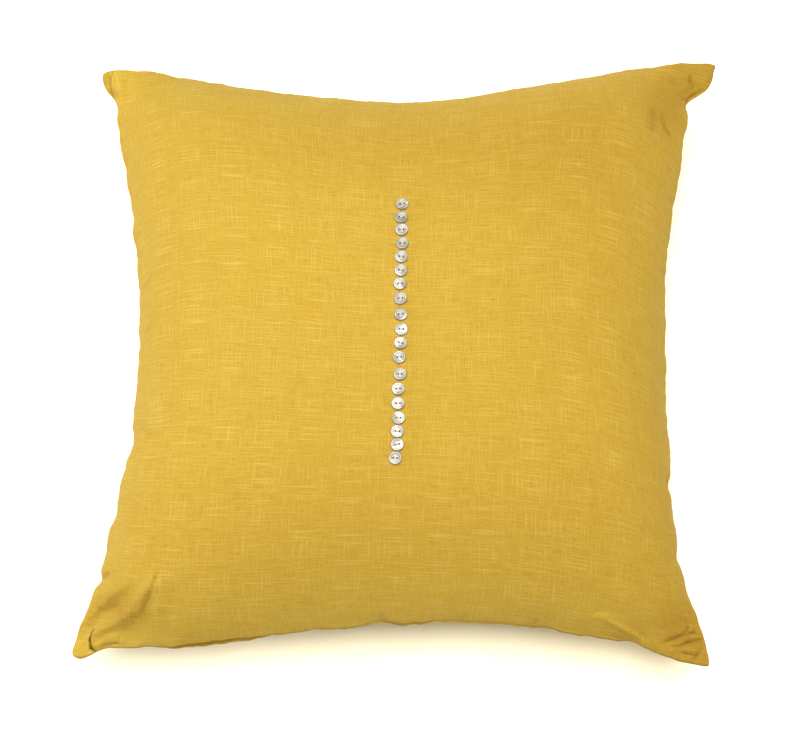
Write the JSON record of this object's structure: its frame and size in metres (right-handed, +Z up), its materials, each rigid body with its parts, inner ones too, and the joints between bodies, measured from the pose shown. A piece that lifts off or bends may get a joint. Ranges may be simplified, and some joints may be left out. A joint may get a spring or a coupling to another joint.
{
  "type": "square throw pillow",
  "caption": "Square linen throw pillow with knife-edge seams, drawn-out corners and a row of two-hole shell buttons down its face, lying on its back.",
  "frame": {"origin": "on the floor, under the middle of the cushion's box", "axes": "+Z up out of the face, +Y towards the top edge of the cushion, +X to its right"},
  "size_m": [0.5063, 0.4944, 0.1599],
  "materials": {
    "linen": "slub linen, plain weave, mustard yellow",
    "shell": "polished mother-of-pearl"
  },
  "bodies": {
    "root": {"cushion": "linen", "button_01": "shell", "button_02": "shell", "button_03": "shell", "button_04": "shell", "button_05": "shell", "button_06": "shell", "button_07": "shell", "button_08": "shell", "button_09": "shell", "button_10": "shell", "button_11": "shell", "button_12": "shell", "button_13": "shell", "button_14": "shell", "button_15": "shell", "button_16": "shell", "button_17": "shell", "button_18": "shell", "button_19": "shell"}
  },
  "joints": []
}
